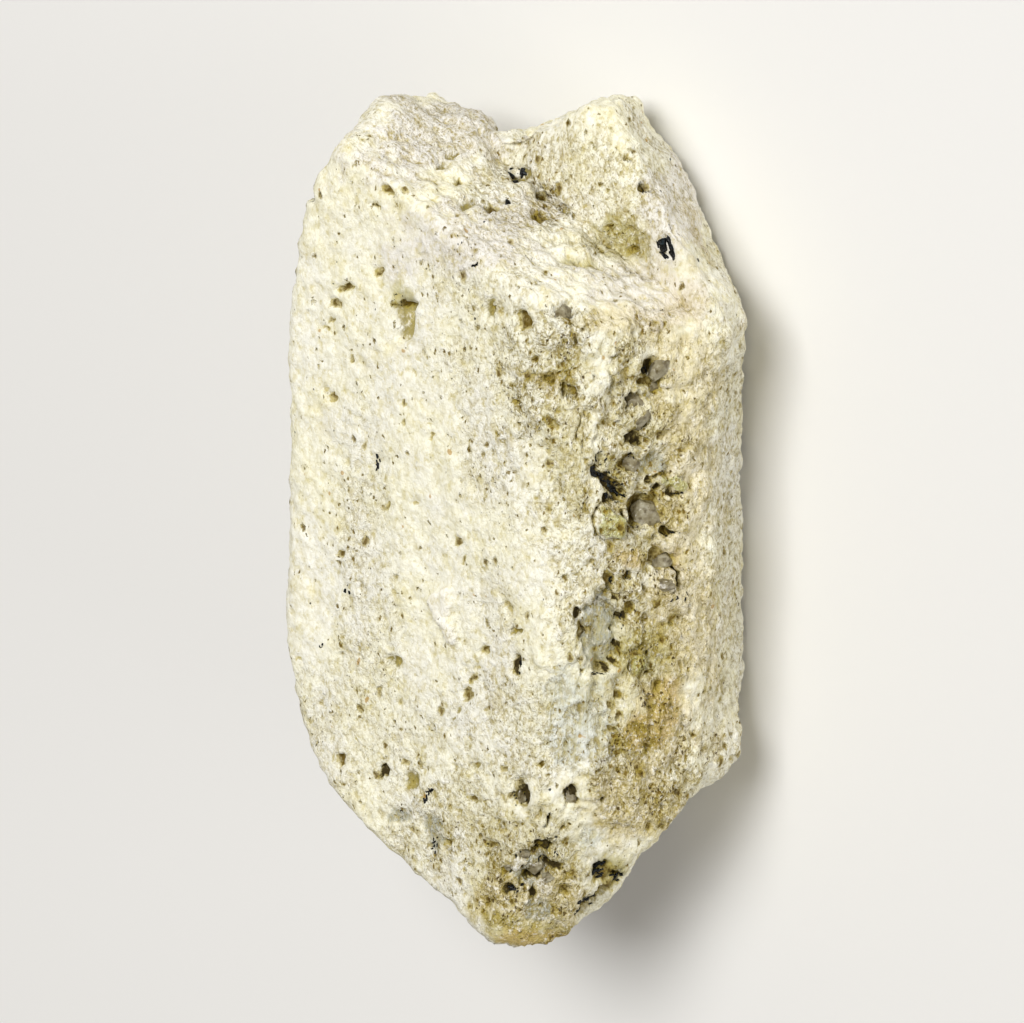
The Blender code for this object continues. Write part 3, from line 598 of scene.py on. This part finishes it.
def chalky_kaolinite():
    """Kaolinite, chalky clay stone: matt and cream, sugary where its grains show, brown in its
    pores. Its colour also carries painted shade in the middles of its pores and pits, in its
    creases and in the hollows of its fine relief, and painted sparkle on its raised grains. Its
    open skin traps most of the gloss."""
    finish, tree, shader = new_material("chalky_kaolinite", 0.8, 1.56, specular=0.15)
    place = node(tree, "ShaderNodeTexCoord").outputs["Object"]
    drawn = node(tree, "ShaderNodeMapping",
                 {"Vector": place, "Scale": (1000.0, 700.0, 1000.0)}).outputs[0]
    streaked = node(tree, "ShaderNodeMapping",
                    {"Vector": place, "Scale": (1000.0, 130.0, 1000.0)}).outputs[0]

    # Masks by name. First the numbers on the mesh, then noises by their sizes: clouds are 6 mm
    # across, mottling 2 mm, blotches 0.8 mm, speckle 0.4 mm, grit 0.15 mm and streaks 0.4 by 3 mm.
    # Rust and soot are the peaks of two plain noises, so they come as single specks.
    masks = {label: node(tree, "ShaderNodeAttribute", attribute_name=label).outputs["Fac"]
             for label in STAINS_AND_SHADE + ("porous", "ribbed", "granular", "pit", "crease_shade")}
    noises = {label: node(tree, "ShaderNodeTexNoise", {"Vector": vector, "Scale": per_mm,
                                                       "Detail": octaves, "Roughness": 0.65})
              for label, vector, per_mm, octaves in (
                  ("clouds", drawn, 0.16, 3.0), ("mottle", drawn, 0.55, 5.0),
                  ("blotch", drawn, 1.25, 3.0), ("speckle", drawn, 2.6, 4.0),
                  ("grit", drawn, 6.5, 2.0), ("streaks", streaked, 2.4, 3.0),
                  ("rust", drawn, 1.7, 0.0), ("soot", drawn, 2.9, 0.0))}
    masks.update({label: noise.outputs[0] for label, noise in noises.items()})
    masks["ribs"] = node(tree, "ShaderNodeMath", {0: masks["streaks"], 1: masks["ribbed"]},
                         operation="MULTIPLY").outputs[0]

    # Grains are cells in the stone, bent out of round: 0.45 mm, and sugary ones of 0.25 mm, which
    # are drawn about twice as coarse as the real ones.
    shift = noises["speckle"].outputs[1]
    stir = node(tree, "ShaderNodeVectorMath", {0: shift, 1: (0.5, 0.5, 0.5)},
                operation="SUBTRACT").outputs[0]
    bent = node(tree, "ShaderNodeVectorMath", {0: stir, 1: (0.6, 0.6, 0.6), 2: drawn},
                operation="MULTIPLY_ADD").outputs[0]
    for label, per_mm in (("gap", 4.0), ("grains", 2.3)):
        cells = node(tree, "ShaderNodeTexVoronoi", {"Vector": bent, "Scale": per_mm})
        masks[label] = cells.outputs["Distance"]

    # Where the stone is granular, these all swing further, from -0.2 to 0.2.
    swings = {}
    for label in ("speckle", "grit", "gap", "grains", "blotch"):
        swings[label] = node(tree, "ShaderNodeMath", {0: masks[label], 1: 0.5},
                             operation="SUBTRACT").outputs[0]
        opened = node(tree, "ShaderNodeMath", {0: swings[label], 1: masks["granular"]},
                      operation="MULTIPLY")
        masks["open " + label] = opened.outputs[0]

    # Where the stone is porous, broken strokes run through its mottled patches: thin bands where
    # the blotch noise is halfway.
    patchy = node(tree, "ShaderNodeMapRange",
                  {"Value": masks["mottle"], "From Min": 0.42, "From Max": 0.55},
                  interpolation_type="SMOOTHSTEP").outputs[0]
    open_patches = node(tree, "ShaderNodeMath", {0: patchy, 1: masks["porous"]},
                        operation="MULTIPLY").outputs[0]
    from_middle = node(tree, "ShaderNodeMath", {0: swings["blotch"]},
                       operation="ABSOLUTE").outputs[0]
    band = node(tree, "ShaderNodeMapRange",
                {"Value": from_middle, "From Min": 0.05, "From Max": 0.0}).outputs[0]
    masks["strokes"] = node(tree, "ShaderNodeMath", {0: band, 1: open_patches},
                            operation="MULTIPLY").outputs[0]

    # Speckle breaks a spot into grains and frays its rim: its mask goes from about 0.8 to 1.8.
    for label in ("olive", "brown", "dark", "grey", "white", "lime", "pit"):
        frayed = node(tree, "ShaderNodeMath", {0: masks["speckle"], 1: 1.6, 2: masks[label]},
                      operation="MULTIPLY_ADD")
        masks["frayed " + label] = frayed.outputs[0]

    # Pores are balls in the stone, one for each cell, bent out of round, and wider where the stone
    # is open.
    closed = node(tree, "ShaderNodeMapRange",
                  {"Value": masks["mottle"], "From Min": 0.35, "From Max": 0.60, "To Max": 0.5},
                  interpolation_type="SMOOTHSTEP").outputs[0]
    openness = node(tree, "ShaderNodeMath", {0: masks["porous"], 1: 0.55, 2: closed},
                    operation="MULTIPLY_ADD").outputs[0]
    for label, per_mm, open_part in (("wide pores", 1.0, openness), ("narrow pores", 2.1, openness),
                                     ("pin pores", 3.8, open_patches)):
        cells = node(tree, "ShaderNodeTexVoronoi", {"Vector": bent, "Scale": per_mm})
        lot = node(tree, "ShaderNodeMapRange", {"Value": cells.outputs["Color"], "From Min": 0.25,
                                                "From Max": 0.75, "To Max": 0.50}).outputs[0]
        reach = node(tree, "ShaderNodeMath", {0: lot, 1: open_part},
                     operation="MULTIPLY").outputs[0]
        deep = node(tree, "ShaderNodeMath", {0: reach, 1: 0.25}, operation="MULTIPLY").outputs[0]
        inside = node(tree, "ShaderNodeMapRange", {"Value": cells.outputs["Distance"],
                                                   "From Min": reach, "From Max": deep})
        masks[label] = inside.outputs[0]

    coloured(tree, shader, "#F4F1DA", masks, (
        ("clouds", 0.4, 0.62, 1.0, "#F2F0E2"),
        ("mottle", 0.5, 0.74, 0.4, "#E0D59A"),
        # partly stain, partly painted shade on the rounded edge, the right face and the broken end
        ("dull", 0.0, 1.0, 0.45, "#C6BC84"),
        ("chalk", 0.0, 1.0, 0.75, "#E4E0DA"),
        # partly stain, partly painted shade on the broken end and the right face
        ("tan", 0.0, 1.0, 0.32, "#D2B874"),
        ("slate", 0.0, 1.0, 0.6, "#D2D8D2"),
        ("mossy", 0.0, 1.0, 0.6, "#A99F50"),
        ("amber", 0.0, 1.0, 0.55, "#C8A654"),
        ("frayed grey", 1.15, 1.95, 0.85, "#9DA198"),
        ("frayed white", 1.1, 1.6, 0.75, "#FCF9EE"),
        ("frayed lime", 1.1, 1.6, 0.75, "#C9CB88"),
        ("frayed olive", 1.15, 1.8, 0.88, "#8A7C2A"),
        # The olive films from here to the ribs darken the sunk parts of the fine relief below:
        # partly the stone's olive clay, partly painted shade in those hollows.
        ("blotch", 0.55, 0.66, 0.32, "#CFC278"),
        # painted highlight: the whitest specks here and in the open speckle and open grit below sit
        # on the raised grains, partly white grains and partly painted sparkle
        ("speckle", 0.46, 0.26, 0.6, "#FFFDF5"),
        ("speckle", 0.52, 0.7, 0.45, "#BFAE58"),
        ("gap", 0.4, 0.78, 0.2, "#AC9B46"),
        # painted shade in the creases between the cobbles and ribs
        ("crease_shade", 0.4, 1.0, 0.35, "#AF9D48"),
        ("open grains", 0.04, 0.2, 0.4, "#AE9B48"),
        ("open speckle", 0.01, 0.12, 0.5, "#A8974C"),
        ("open speckle", -0.03, -0.12, 0.45, "#FDFBF0"),
        ("open gap", 0.02, 0.22, 0.45, "#94823C"),
        ("open grit", 0.03, 0.1, 0.55, "#826C1C"),
        ("open grit", -0.04, -0.12, 0.45, "#FDFBF2"),
        ("strokes", 0.1, 0.8, 0.7, "#84701C"),
        ("ribs", 0.46, 0.62, 0.45, "#ABA062"),
        ("frayed brown", 1.05, 1.45, 0.65, "#AE9C3C"),
        ("frayed brown", 1.38, 1.95, 0.94, "#5C4808"),
        # dark: partly the stone's own dark, partly painted shade in deep pits, moats and an
        # underside
        ("frayed dark", 1.05, 1.5, 0.8, "#9C8A38"),
        ("frayed dark", 1.35, 1.7, 0.94, "#2A1E02"),
        # pores: a brown halo of stain, and dark middles that are partly stain and partly painted
        # shade in their depths
        ("wide pores", 0.0, 0.6, 0.65, "#B09C3E"),
        ("narrow pores", 0.0, 0.6, 0.65, "#B09C3E"),
        ("wide pores", 0.5, 1.0, 0.8, "#5C4404"),
        ("narrow pores", 0.35, 0.85, 0.82, "#6A5008"),
        ("pin pores", 0.05, 0.55, 0.9, "#4A3602"),
        # pits: brown stain, darkest in the middle, which is partly painted shade
        ("frayed pit", 1.1, 1.5, 0.6, "#AC9840"),
        ("frayed pit", 1.38, 1.85, 0.92, "#4E3804"),
        ("rust", 0.84, 0.88, 0.7, "#B4892E"),
        ("soot", 0.86, 0.89, 0.9, "#1E201C"),
    ), easing="SMOOTHSTEP")

    # Fine relief: mm of height for each mask. Most sunk places are also darkened in the colour
    # above, partly as painted shade.
    height = 0.0
    for label, rise in (
            ("gap", -0.03), ("speckle", -0.07), ("grit", -0.03), ("ribs", -0.25),
            ("blotch", -0.08), ("open grains", -0.16), ("open speckle", -0.18),
            ("open gap", -0.08), ("open grit", -0.10), ("strokes", -0.04), ("wide pores", -0.14),
            ("narrow pores", -0.08), ("pin pores", -0.04)):
        height = node(tree, "ShaderNodeMath", {0: masks[label], 1: rise, 2: height},
                      operation="MULTIPLY_ADD").outputs[0]
    bumpy = node(tree, "ShaderNodeBump", {"Height": height, "Strength": 1.0, "Distance": MM})
    tree.links.new(bumpy.outputs[0], shader.inputs["Normal"])
    return finish


kaolinite = chalky_kaolinite()
upper_points, upper_quads = crystal_surface(UPPER_CRYSTAL, UPPER_GRID, np.array(UPPER_CENTRE))
upper_points, upper_numbers = weathered(upper_points, upper_quads, UPPER_SEED)
upper_crystal = mesh_piece("upper_crystal", upper_points, upper_quads, upper_numbers)

lower_points, lower_quads = crystal_surface(LOWER_CRYSTAL, LOWER_GRID, np.array(LOWER_CENTRE))
sunk_in = eased((0.5 - worn_crystal(lower_points, UPPER_CRYSTAL)[0]) / 0.5)[:, None]
lower_points -= grid_normals(lower_points, lower_quads) * OVERLAP_INSET * sunk_in
lower_points, lower_numbers = weathered(lower_points, lower_quads, LOWER_SEED)
lower_crystal = mesh_piece("lower_crystal", lower_points, lower_quads, lower_numbers)

for crystal in (upper_crystal, lower_crystal):
    crystal.data.materials.append(kaolinite)
    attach(crystal, "root")
    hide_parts("kaolinite_crystal")


# -------------------------------- quartz grains
# Grey quartz that grew in the feldspar and outlasted it: glassy, broken grains 0.8 to 2.2 mm
# long, held in the bottoms of pits on the right face, at the broken end and on the back.
QUARTZ_CELLS = (10, 10, 10)
QUARTZ_DEPTH = 0.5  # mm, half the depth of a grain
QUARTZ_SPREAD = 1.3  # half sizes before the faces are cut, times those below
# Grains that show: across, up, half width, half height, lean in degrees, and how far each stands
# proud of its pit's floor, in mm.
QUARTZ_SHOWN = (
    (3.1, 12.8, 0.62, 0.62, 0, 0.25),
    (9.4, 9.0, 0.72, 0.42, -50, 0.4),
    (9.0, 8.0, 0.8, 0.45, -15, 0.15),
    (7.95, 7.1, 0.46, 0.48, 0, 0.25),
    (8.3, 5.9, 0.42, 0.66, 35, 0.3),
    (7.6, 3.05, 0.45, 0.5, 0, 0.42),
    (8.5, -0.05, 0.8, 0.76, 15, 0.55),
    (9.5, -3.2, 0.64, 0.52, 0, 0.5),
    (9.9, -4.7, 0.55, 0.32, 10, 0.35),
    (0.5, -18.3, 0.45, 0.75, 0, 0.2),
    (3.7, -18.2, 0.55, 0.6, 0, 0.2),
    (1.5, -22.8, 0.5, 0.42, 0, 0.4),
    (0.7, -22.0, 0.34, 0.3, 20, 0.35),
    (2.3, -23.4, 0.4, 0.3, 0, 0.35),
    (-0.2, -22.7, 0.3, 0.3, 0, 0.3),
)
QUARTZ_HIDDEN = 14
QUARTZ_HIDDEN_HALVES = (0.3, 0.6)  # mm
FRACTURES = 14  # planes round a grain
GRAIN_SEED = 7


def cut_grain(middle, axes, halves, cells, planes):
    """A broken grain on a box grid: each direction goes out to the nearest of the planes, rows of a
    normal and a distance, and is stretched to the half sizes and turned to the three axes."""
    places, quads = box_grid(cells)
    way = places / np.linalg.norm(places, axis=1, keepdims=True)
    reach = 1.0 / (way @ (planes[:, :3] / planes[:, 3:]).T).max(axis=1)
    return middle + (way * reach[:, None] * halves) @ axes, quads


def fracture_planes(dice):
    """Planes round a grain: normals spread evenly along a spiral from pole to pole, then jittered,
    at uneven distances."""
    step = np.arange(FRACTURES)
    turn = step * math.pi * (3.0 - math.sqrt(5.0)) + dice.uniform(0.0, 2.0 * math.pi)
    rise = 1.0 - (step + 0.5) * 2.0 / FRACTURES
    level = np.sqrt(1.0 - rise ** 2)
    normals = np.stack([level * np.cos(turn), level * np.sin(turn), rise], axis=1)
    normals += dice.uniform(-0.2, 0.2, normals.shape)
    normals /= np.linalg.norm(normals, axis=1, keepdims=True)
    return np.column_stack([normals, dice.uniform(0.72, 1.0, FRACTURES)])


stone_points = np.concatenate([upper_points, lower_points])
stone_normals = np.concatenate([grid_normals(upper_points, upper_quads),
                                grid_normals(lower_points, lower_quads)])
stone_across, stone_up = on_drawing(stone_points)
stone_depth = (stone_points - MIDDLE) @ TOWARDS_EYE


def spot_on_stone(across, up):
    """Middle and outward normal of the patch of stone that shows at a place on the drawing."""
    near = np.hypot(stone_across - across, stone_up - up) < 0.35
    near &= stone_normals @ TOWARDS_EYE > -0.2
    near &= stone_depth > stone_depth[near].max() - 1.6
    normal = stone_normals[near].mean(axis=0) + 0.5 * TOWARDS_EYE
    return stone_points[near].mean(axis=0), normal / np.linalg.norm(normal)


def grain_axes(along, outward):
    """Axes of a grain (side, long, outward), its long one laid level with the stone."""
    along = along - outward * (along @ outward)
    along = along / np.linalg.norm(along)
    return np.stack([np.cross(along, outward), along, outward])


def set_in(across, up, lean, rise):
    """Middle and axes of a grain whose middle is that far above the stone at a place on the
    drawing."""
    spot, outward = spot_on_stone(across, up)
    turn = math.radians(lean)
    return spot + outward * rise, grain_axes(UPWARD * math.cos(turn) + ACROSS * math.sin(turn),
                                             outward)


def joined(name, grains):
    """One mesh piece of many grains, each a pair of points and quads."""
    starts = np.cumsum([0] + [len(points) for points, _ in grains[:-1]])
    points = np.concatenate([points for points, _ in grains])
    quads = np.concatenate([quads + start for (_, quads), start in zip(grains, starts)])
    return mesh_piece(name, points, quads)


def glassy_quartz():
    """Quartz: smoky grey and glassy, with paler flaws inside, a brown film on its skin, and pale
    painted highlights between the patches of film.
    """
    finish, tree, shader = new_material("glassy_quartz", 0.28, 1.55)
    place = node(tree, "ShaderNodeTexCoord").outputs["Object"]
    masks = {label: node(tree, "ShaderNodeTexNoise", {"Vector": place, "Scale": per_m,
                                                      "Detail": octaves}).outputs[0]
             for label, per_m, octaves in (("flaws", 1500.0, 4.0), ("film_and_glint", 2600.0, 3.0))}
    coloured(tree, shader, "#80775C", masks, (
        ("flaws", 0.46, 0.68, 0.9, "#A39D86"),
        ("film_and_glint", 0.50, 0.64, 0.8, "#4C3F1C"),
        # painted highlight: pale glints where the film noise is low
        ("film_and_glint", 0.40, 0.28, 0.5, "#D3D0B8"),
    ))
    chipped = node(tree, "ShaderNodeBump", {"Height": masks["flaws"], "Strength": 0.8,
                                            "Distance": 0.15 * MM})
    tree.links.new(chipped.outputs[0], shader.inputs["Normal"])
    return finish


dice = np.random.default_rng(GRAIN_SEED)
quartz_grains = []
for a, b, half_width, half_height, lean, proud in QUARTZ_SHOWN:
    middle, axes = set_in(a, b, lean, proud - QUARTZ_DEPTH)
    halves = np.array([half_width * QUARTZ_SPREAD, half_height * QUARTZ_SPREAD, QUARTZ_DEPTH])
    quartz_grains.append(cut_grain(middle, axes, halves, QUARTZ_CELLS, fracture_planes(dice)))
stone_pits = np.concatenate([upper_numbers["pit"], lower_numbers["pit"]])
hidden = np.flatnonzero((stone_normals @ TOWARDS_EYE < -0.1) & (stone_points[:, 2] > 1.5)
                        & (stone_pits > 0.8))
for spot in dice.choice(hidden, QUARTZ_HIDDEN, replace=False):
    outward = stone_normals[spot]
    axes = grain_axes(np.cross(outward, (0.3, 0.2, 1.0)), outward)
    halves = dice.uniform(*QUARTZ_HIDDEN_HALVES, 3)
    middle = stone_points[spot] - outward * 0.1
    quartz_grains.append(cut_grain(middle, axes, halves, QUARTZ_CELLS, fracture_planes(dice)))

quartz = joined("quartz_grains", quartz_grains)
quartz.data.materials.append(glassy_quartz())
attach(quartz, "root")


# -------------------------------- tourmaline grains
# Black tourmaline, grown through the feldspar and half buried in the kaolinite: broken prisms and
# splinters up to 1 mm long, in ragged clusters and strings.
SPLINTER_CELLS = (3, 3, 3)
PRISM_SIDES = 7
# Clusters: across, up, half length, half width, lean in degrees, how many splinters, and the half
# length of the longest in mm.
TOURMALINE_SHOWN = (
    (0.4, 21.6, 0.55, 0.28, 75, 13, 0.42), (0.5, 21.9, 0.6, 0.25, 80, 8, 0.16),
    (-0.26, 19.8, 0.06, 0.05, 10, 2, 0.26), (-2.4, 15.8, 0.26, 0.06, 60, 5, 0.17),
    (-3.3, 17.4, 0.35, 0.25, 0, 7, 0.09), (9.9, 16.8, 0.6, 0.36, -20, 18, 0.42),
    (10.1, 18.0, 0.5, 0.12, -20, 6, 0.09), (12.0, 16.1, 0.05, 0.05, 0, 1, 0.14),
    (-8.6, 3.2, 0.5, 0.12, 5, 7, 0.24), (9.55, 12.85, 0.1, 0.04, 70, 2, 0.17),
    (7.6, 13.4, 0.25, 0.05, 70, 4, 0.14), (-6.0, 12.7, 0.36, 0.05, 0, 6, 0.14),
    (-7.2, 13.7, 0.5, 0.45, 0, 16, 0.08), (-10.6, -5.1, 0.12, 0.12, 0, 4, 0.18),
    (-12.2, -8.6, 0.12, 0.1, 20, 4, 0.16), (0.55, -10.0, 0.35, 0.12, 20, 7, 0.22),
    (-5.4, -18.1, 0.45, 0.12, 25, 8, 0.24), (-7.2, -19.5, 0.6, 0.3, 0, 8, 0.09),
    (-4.9, -21.3, 0.6, 0.2, 5, 10, 0.14), (6.1, 1.85, 1.4, 0.16, -51, 30, 0.26),
    (6.1, 2.2, 1.5, 0.45, -51, 30, 0.13), (5.7, 3.6, 0.4, 0.3, 0, 8, 0.12),
    (6.1, 1.1, 0.3, 0.2, 0, 7, 0.2), (7.2, 1.1, 0.25, 0.22, 0, 6, 0.15),
    (7.7, 3.4, 0.3, 0.25, 0, 6, 0.15), (8.5, 9.1, 0.35, 0.2, -30, 7, 0.16),
    (10.3, 1.1, 0.6, 0.08, 82, 8, 0.12), (10.3, -5.6, 0.35, 0.06, 80, 6, 0.18),
    (11.1, -5.5, 0.18, 0.14, 10, 4, 0.16), (7.4, -4.1, 0.12, 0.12, 0, 4, 0.14),
    (6.35, -4.4, 0.22, 0.12, 0, 5, 0.15), (10.0, -1.4, 0.4, 0.15, 80, 7, 0.14),
    (0.4, -21.7, 0.4, 0.35, 0, 8, 0.16), (1.6, -22.5, 0.6, 0.6, 0, 12, 0.18),
    (0.4, -24.1, 0.65, 0.2, 80, 9, 0.24), (-0.3, -23.4, 0.3, 0.25, 0, 6, 0.16),
    (2.7, -22.0, 0.4, 0.35, 0, 8, 0.18), (5.6, -23.0, 0.45, 0.32, 60, 14, 0.3),
    (6.7, -23.4, 0.25, 0.2, 60, 7, 0.22), (4.8, -25.1, 0.8, 0.3, 55, 10, 0.22),
    (0.5, -18.2, 0.6, 0.35, 0, 14, 0.1), (3.7, -18.2, 0.5, 0.4, 0, 10, 0.1),
    (5.3, -10.4, 0.7, 0.12, 85, 10, 0.13), (6.9, -7.0, 0.7, 0.15, 0, 8, 0.12),
)


def prism_planes(dice):
    """Planes round a prism: uneven sides round its long axis and two slanting broken ends."""
    turn = np.arange(PRISM_SIDES) + dice.uniform(-0.3, 0.3, PRISM_SIDES)
    turn = turn * 2.0 * math.pi / PRISM_SIDES
    sides = np.stack([np.cos(turn), dice.uniform(-0.1, 0.1, PRISM_SIDES), np.sin(turn)], axis=1)
    ends = np.array([[0.0, 1.0, 0.0], [0.0, -1.0, 0.0]]) + dice.uniform(-0.4, 0.4, (2, 3))
    normals = np.concatenate([sides, ends])
    normals /= np.linalg.norm(normals, axis=1, keepdims=True)
    return np.column_stack([normals, dice.uniform(0.7, 1.0, len(normals))])


def black_tourmaline():
    """Tourmaline, schorl: black, with blue-grey patches painted on as glints where a broken face
    would catch the light. Its faces are etched, so only parts of them shine."""
    finish, tree, shader = new_material("black_tourmaline", 0.24, 1.63, specular=0.15)
    place = node(tree, "ShaderNodeTexCoord").outputs["Object"]
    patches = node(tree, "ShaderNodeTexNoise", {"Vector": place, "Scale": 2600.0, "Detail": 4.0,
                                                "Roughness": 0.7}).outputs[0]
    coloured(tree, shader, "#060808", {"patches": patches},
             # painted highlight: blue-grey glints on patches of noise
             (("patches", 0.56, 0.78, 1.0, "#26363C"),))
    broken = node(tree, "ShaderNodeBump", {"Height": patches, "Strength": 0.8,
                                           "Distance": 0.12 * MM})
    tree.links.new(broken.outputs[0], shader.inputs["Normal"])
    return finish


splinters = []
for a, b, half_length, half_width, lean, count, longest in TOURMALINE_SHOWN:
    turn = math.radians(lean)
    for _ in range(count):
        v = dice.uniform(-half_length, half_length)
        u = dice.uniform(-half_width, half_width)
        long = longest * dice.uniform(0.45, 1.0)
        thick = longest * dice.uniform(0.22, 0.48)
        across = a + u * math.cos(turn) + v * math.sin(turn)
        up = b - u * math.sin(turn) + v * math.cos(turn)
        middle, axes = set_in(across, up, lean + dice.normal(0.0, 25.0),
                              dice.uniform(-0.4, 0.3) * thick)
        splinters.append(cut_grain(middle, axes, np.array([thick, long, thick]), SPLINTER_CELLS,
                                   prism_planes(dice)))
tourmaline = joined("tourmaline_grains", splinters)
tourmaline.data.materials.append(black_tourmaline())
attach(tourmaline, "root")


# -------------------------------- floor, light and camera
# A pale matt floor, a wide soft lamp above and left of the camera with a weak one to the right,
# and a long lens.
FLOOR_HALF = 3.0  # m
LENS = 200.2  # mm
FILM = 36.0  # mm
ROOM_LIGHT = (1.0, 0.955, 0.90, 1.0)
ROOM_STRENGTH = 0.28


def backdrop_paper():
    """Matt backdrop paper: pale and even."""
    finish, _, shader = new_material("backdrop_paper", 0.9, 1.45)
    shader.inputs["Base Color"].default_value = linear("#E6E5E2")
    return finish


corners = np.array([[-1, -1, 0], [1, -1, 0], [1, 1, 0], [-1, 1, 0]]) * FLOOR_HALF / MM
floor = mesh_piece("floor", corners, np.array([[0, 1, 2, 3]]))
floor.data.materials.append(backdrop_paper())


def aimed(name, data, place):
    """A camera or lamp at place, in mm, that faces the middle of the stone and is held upright in
    the camera's view."""
    back = Vector(place - MIDDLE).normalized()
    right = Vector(UPWARD).cross(back).normalized()
    thing = bpy.data.objects.new(name, data)
    turn = Matrix((right, back.cross(right), back)).transposed().to_4x4()
    thing.matrix_world = Matrix.Translation(Vector(place * MM)) @ turn
    bpy.context.scene.collection.objects.link(thing)
    return thing


def lamp(name, across, up, towards, size, watts):
    """A square soft lamp at a place given in metres as the camera sees it."""
    data = bpy.data.lights.new(name, "AREA")
    data.size = size
    data.energy = watts
    return aimed(name, data, MIDDLE + (ACROSS * across + UPWARD * up + TOWARDS_EYE * towards) / MM)


lamp("key_lamp", across=-0.36, up=0.18, towards=0.88, size=0.4, watts=8.8)
lamp("fill_lamp", across=0.75, up=-0.25, towards=0.72, size=0.5, watts=3.4)
world = bpy.data.worlds.new("studio")
world.use_nodes = True
room = world.node_tree.nodes["Background"]
room.inputs["Color"].default_value = ROOM_LIGHT
room.inputs["Strength"].default_value = ROOM_STRENGTH
bpy.context.scene.world = world
bpy.context.scene.view_settings.view_transform = "Standard"

view = bpy.data.cameras.new("camera")
view.lens = LENS
view.sensor_width = FILM
view.clip_start = 0.01  # m
view.clip_end = 20.0
bpy.context.scene.camera = aimed("camera", view, MIDDLE + TOWARDS_EYE * EYE_DISTANCE)
